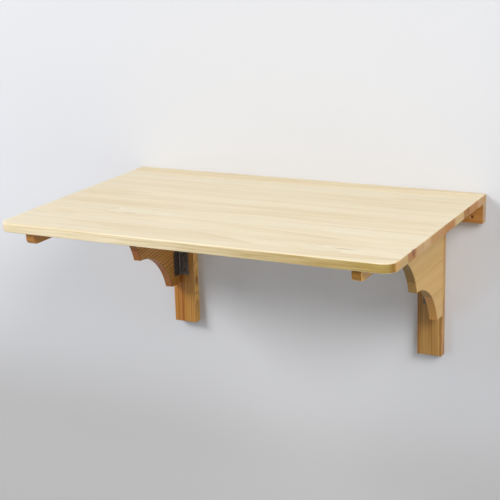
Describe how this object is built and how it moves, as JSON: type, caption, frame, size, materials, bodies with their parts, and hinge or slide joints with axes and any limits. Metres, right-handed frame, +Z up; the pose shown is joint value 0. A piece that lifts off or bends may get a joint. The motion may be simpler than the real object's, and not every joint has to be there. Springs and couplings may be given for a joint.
{
  "type": "wall mounted drop leaf table",
  "caption": "Pine wall table: a hinged leaf with rounded front corners, carried by double-arc swing brackets hinged to upright posts under a wall rail.",
  "frame": {"origin": "on the wall plane, midway along the row of screw holes in the wall rail", "axes": "+X along the wall to the right as seen from the room, +Y into the wall, +Z up; the table stands out towards -Y"},
  "size_m": [0.9, 0.6, 0.395],
  "materials": {
    "leaf_pine": "satin varnished, pale",
    "strip_pine": "satin varnished",
    "frame_pine": "satin varnished",
    "bracket_pine": "satin varnished",
    "batten_pine": "satin varnished",
    "hinge_black": "black, satin",
    "screw_steel": "zinc, satin"
  },
  "bodies": {
    "wall_frame": {"wall_rail": "frame_pine", "fixed_strip": "strip_pine", "left_post": "frame_pine", "right_post": "frame_pine", "left_upper_hinge_fixed_plate": "hinge_black", "left_upper_hinge_fixed_screws": "hinge_black", "left_upper_hinge_pin": "hinge_black", "left_lower_hinge_fixed_plate": "hinge_black", "left_lower_hinge_fixed_screws": "hinge_black", "left_lower_hinge_pin": "hinge_black", "right_upper_hinge_fixed_plate": "hinge_black", "right_upper_hinge_fixed_screws": "hinge_black", "right_upper_hinge_pin": "hinge_black", "right_lower_hinge_fixed_plate": "hinge_black", "right_lower_hinge_fixed_screws": "hinge_black", "right_lower_hinge_pin": "hinge_black", "left_leaf_hinge_fixed_plate": "hinge_black", "left_leaf_hinge_fixed_screws": "hinge_black", "left_leaf_hinge_pin": "hinge_black", "right_leaf_hinge_fixed_plate": "hinge_black", "right_leaf_hinge_fixed_screws": "hinge_black", "right_leaf_hinge_pin": "hinge_black"},
    "leaf": {"leaf": "leaf_pine", "left_batten": "batten_pine", "right_batten": "batten_pine", "left_batten_screws": "screw_steel", "right_batten_screws": "screw_steel", "left_leaf_hinge_moving_plate": "hinge_black", "left_leaf_hinge_moving_screws": "hinge_black", "right_leaf_hinge_moving_plate": "hinge_black", "right_leaf_hinge_moving_screws": "hinge_black"},
    "left_bracket": {"left_bracket": "bracket_pine", "left_upper_hinge_moving_plate": "hinge_black", "left_upper_hinge_moving_screws": "hinge_black", "left_lower_hinge_moving_plate": "hinge_black", "left_lower_hinge_moving_screws": "hinge_black"},
    "right_bracket": {"right_bracket": "bracket_pine", "right_upper_hinge_moving_plate": "hinge_black", "right_upper_hinge_moving_screws": "hinge_black", "right_lower_hinge_moving_plate": "hinge_black", "right_lower_hinge_moving_screws": "hinge_black"}
  },
  "joints": [
    {"name": "leaf_hinge", "type": "hinge", "parent": "wall_frame", "child": "leaf", "pos_m": [0, -0.0547, 0.0278], "axis": [-1, 0, 0], "range_deg": [0, 3]},
    {"name": "left_bracket_swing", "type": "hinge", "parent": "wall_frame", "child": "left_bracket", "pos_m": [-0.3368, -0.0252, 0], "axis": [0, 0, 1], "range_deg": [0, 90]},
    {"name": "right_bracket_swing", "type": "hinge", "parent": "wall_frame", "child": "right_bracket", "pos_m": [0.3368, -0.0252, 0], "axis": [0, 0, -1], "range_deg": [0, 90]}
  ]
}
